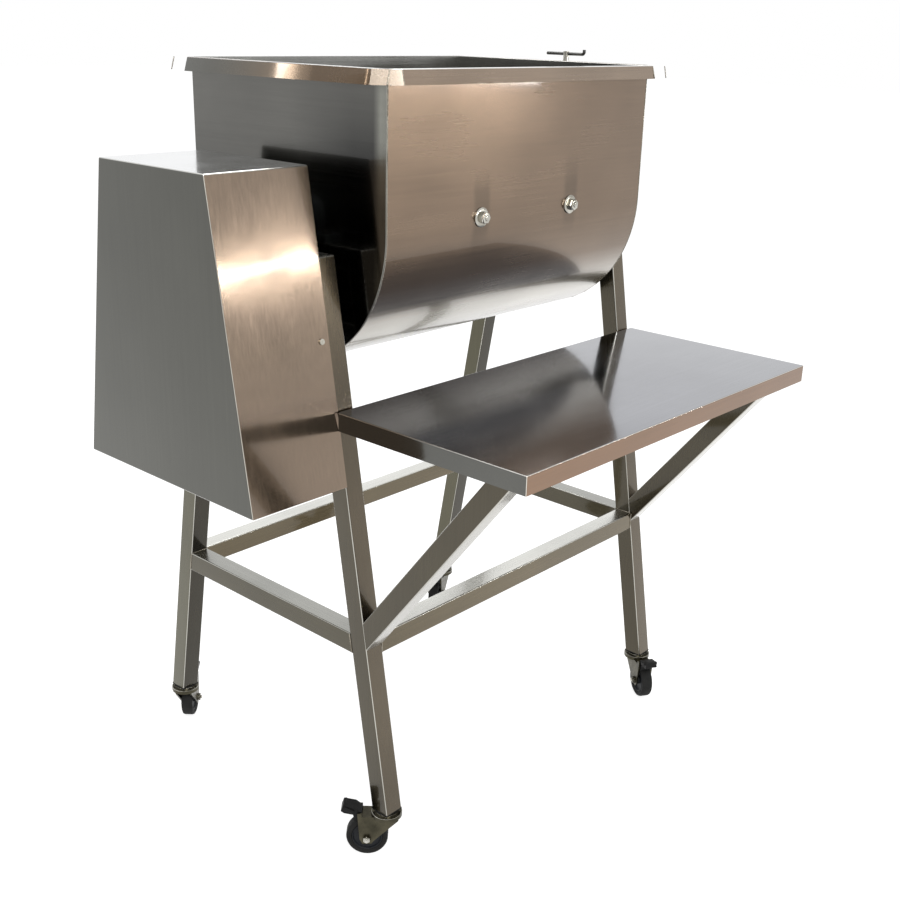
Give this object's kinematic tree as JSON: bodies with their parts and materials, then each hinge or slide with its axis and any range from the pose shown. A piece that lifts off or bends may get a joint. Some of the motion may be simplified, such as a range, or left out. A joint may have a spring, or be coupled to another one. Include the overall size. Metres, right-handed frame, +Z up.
{
  "type": "tilting ribbon blender",
  "caption": "Tilting ribbon blender: a U trough hung on its ribbon mixing shaft between splayed end frames on casters, with a front work table and a guarded chain drive.",
  "frame": {"origin": "middle of the footprint's bounding box, on the floor under the casters", "axes": "+Z up; +X along the mixing shaft, away from the drive guard; -Y towards the work table, which is the side the trough tips to"},
  "size_m": [1.0482, 0.9738, 1.385],
  "materials": {
    "satin_stainless": "brushed satin stainless sheet and tube",
    "bright_steel": "bright plated or turned steel",
    "machined_steel": "machined shaft steel",
    "oiled_chain_steel": "oiled chain steel",
    "bronze": "cast bronze",
    "seal_rubber": "rubber",
    "painted_casting": "painted casting",
    "motor_paint": "painted metal",
    "black_plastic": "moulded plastic",
    "caster_steel": "plated pressed steel, dark",
    "black_tyre": "solid rubber tread on a plastic core"
  },
  "bodies": {
    "frame": {"front_left_leg": "satin_stainless", "rear_left_leg": "satin_stainless", "front_right_leg": "satin_stainless", "rear_right_leg": "satin_stainless", "end_top_bars": "satin_stainless", "end_stretchers": "satin_stainless", "drive_rails": "satin_stainless", "rear_stretcher": "satin_stainless", "front_stretcher": "satin_stainless", "work_table": "satin_stainless", "table_braces": "satin_stainless", "lock_post": "satin_stainless", "shaft_bearings": "painted_casting", "frame_bolts": "bright_steel", "drive_chain": "oiled_chain_steel", "gearbox_shelf": "satin_stainless", "gearbox_housing": "painted_casting", "gearbox_cover": "painted_casting", "motor_housing": "motor_paint", "motor_fan_cover": "motor_paint", "terminal_box": "motor_paint", "drive_guard": "satin_stainless", "guard_back_plate": "satin_stainless", "leg_plugs": "black_plastic", "caster_stems": "bright_steel"},
    "trough": {"trough_shell": "satin_stainless", "right_end_plate": "satin_stainless", "left_end_plate": "satin_stainless", "side_rims": "satin_stainless", "end_rims": "satin_stainless", "trough_hubs": "satin_stainless", "hub_bushes": "bronze", "shaft_seals": "seal_rubber", "trough_bolts": "bright_steel", "lock_guides": "satin_stainless"},
    "trough_lock": {"lock_rod": "machined_steel", "lock_crossbar": "bright_steel"},
    "mixer": {"mixer_shaft": "machined_steel", "ribbon_arms": "satin_stainless", "outer_ribbons": "satin_stainless", "inner_ribbons": "satin_stainless", "bearing_inner_rings": "bright_steel", "mixer_sprocket": "oiled_chain_steel"},
    "gearbox_output": {"drive_sprocket": "oiled_chain_steel", "output_shaft": "machined_steel", "worm_wheel": "bronze"},
    "motor_spindle": {"motor_rotor": "machined_steel", "motor_fan": "black_plastic"},
    "front_left_caster": {"front_left_fork": "caster_steel"},
    "front_left_roller": {"front_left_wheel": "black_tyre"},
    "front_left_brake": {"front_left_pedal": "black_plastic"},
    "front_right_caster": {"front_right_fork": "caster_steel"},
    "front_right_roller": {"front_right_wheel": "black_tyre"},
    "front_right_brake": {"front_right_pedal": "black_plastic"},
    "rear_left_caster": {"rear_left_fork": "caster_steel"},
    "rear_left_roller": {"rear_left_wheel": "black_tyre"},
    "rear_left_brake": {"rear_left_pedal": "black_plastic"},
    "rear_right_caster": {"rear_right_fork": "caster_steel"},
    "rear_right_roller": {"rear_right_wheel": "black_tyre"},
    "rear_right_brake": {"rear_right_pedal": "black_plastic"}
  },
  "joints": [
    {"name": "trough_tilt", "type": "hinge", "parent": "frame", "child": "trough", "pos_m": [0.09477, 0.11796, 1.11], "axis": [1, 0, 0], "range_deg": [0, 90]},
    {"name": "lock_slide", "type": "slide", "parent": "trough", "child": "trough_lock", "axis": [0, 0, 1], "range_m": [-0.012, 0]},
    {"name": "mixer_spin", "type": "hinge", "parent": "frame", "child": "mixer", "pos_m": [0.09477, 0.11796, 1.11], "axis": [1, 0, 0], "continuous": true},
    {"name": "output_spin", "type": "hinge", "parent": "frame", "child": "gearbox_output", "pos_m": [-0.43522, 0.11796, 0.782], "axis": [1, 0, 0], "continuous": true},
    {"name": "motor_spin", "type": "hinge", "parent": "frame", "child": "motor_spindle", "pos_m": [-0.43522, 0.16296, 0.782], "axis": [0, 0, 1], "continuous": true},
    {"name": "front_left_swivel", "type": "hinge", "parent": "frame", "child": "front_left_caster", "pos_m": [-0.30657, -0.18643, 0.0879], "axis": [0, 0, 1], "continuous": true},
    {"name": "front_left_roll", "type": "hinge", "parent": "front_left_caster", "child": "front_left_roller", "pos_m": [-0.32999, -0.16042, 0.038], "axis": [-0.7431, -0.6691, 0], "continuous": true},
    {"name": "front_left_brake_press", "type": "hinge", "parent": "front_left_caster", "child": "front_left_brake", "pos_m": [-0.33869, -0.15076, 0.0869], "axis": [-0.7431, -0.6691, 0], "range_deg": [0, 12]},
    {"name": "front_right_swivel", "type": "hinge", "parent": "frame", "child": "front_right_caster", "pos_m": [0.49612, -0.18643, 0.0879], "axis": [0, 0, 1], "continuous": true},
    {"name": "front_right_roll", "type": "hinge", "parent": "front_right_caster", "child": "front_right_roller", "pos_m": [0.47706, -0.21579, 0.038], "axis": [0.8387, -0.5446, 0], "continuous": true},
    {"name": "front_right_brake_press", "type": "hinge", "parent": "front_right_caster", "child": "front_right_brake", "pos_m": [0.46998, -0.22669, 0.0869], "axis": [0.8387, -0.5446, 0], "range_deg": [0, 12]},
    {"name": "rear_left_swivel", "type": "hinge", "parent": "frame", "child": "rear_left_caster", "pos_m": [-0.30657, 0.42234, 0.0879], "axis": [0, 0, 1], "continuous": true},
    {"name": "rear_left_roll", "type": "hinge", "parent": "rear_left_caster", "child": "rear_left_roller", "pos_m": [-0.28057, 0.44576, 0.038], "axis": [-0.6691, 0.7431, 0], "continuous": true},
    {"name": "rear_left_brake_press", "type": "hinge", "parent": "rear_left_caster", "child": "rear_left_brake", "pos_m": [-0.2709, 0.45446, 0.0869], "axis": [-0.6691, 0.7431, 0], "range_deg": [0, 12]},
    {"name": "rear_right_swivel", "type": "hinge", "parent": "frame", "child": "rear_right_caster", "pos_m": [0.49612, 0.42234, 0.0879], "axis": [0, 0, 1], "continuous": true},
    {"name": "rear_right_roll", "type": "hinge", "parent": "rear_right_caster", "child": "rear_right_roller", "pos_m": [0.4644, 0.40755, 0.038], "axis": [0.4226, -0.9063, 0], "continuous": true},
    {"name": "rear_right_brake_press", "type": "hinge", "parent": "rear_right_caster", "child": "rear_right_brake", "pos_m": [0.45262, 0.40206, 0.0869], "axis": [0.4226, -0.9063, 0], "range_deg": [0, 12]}
  ],
  "couplings": [
    {"joint": "output_spin", "follows": "mixer_spin", "ratio": 2},
    {"joint": "motor_spin", "follows": "mixer_spin", "ratio": 80}
  ]
}
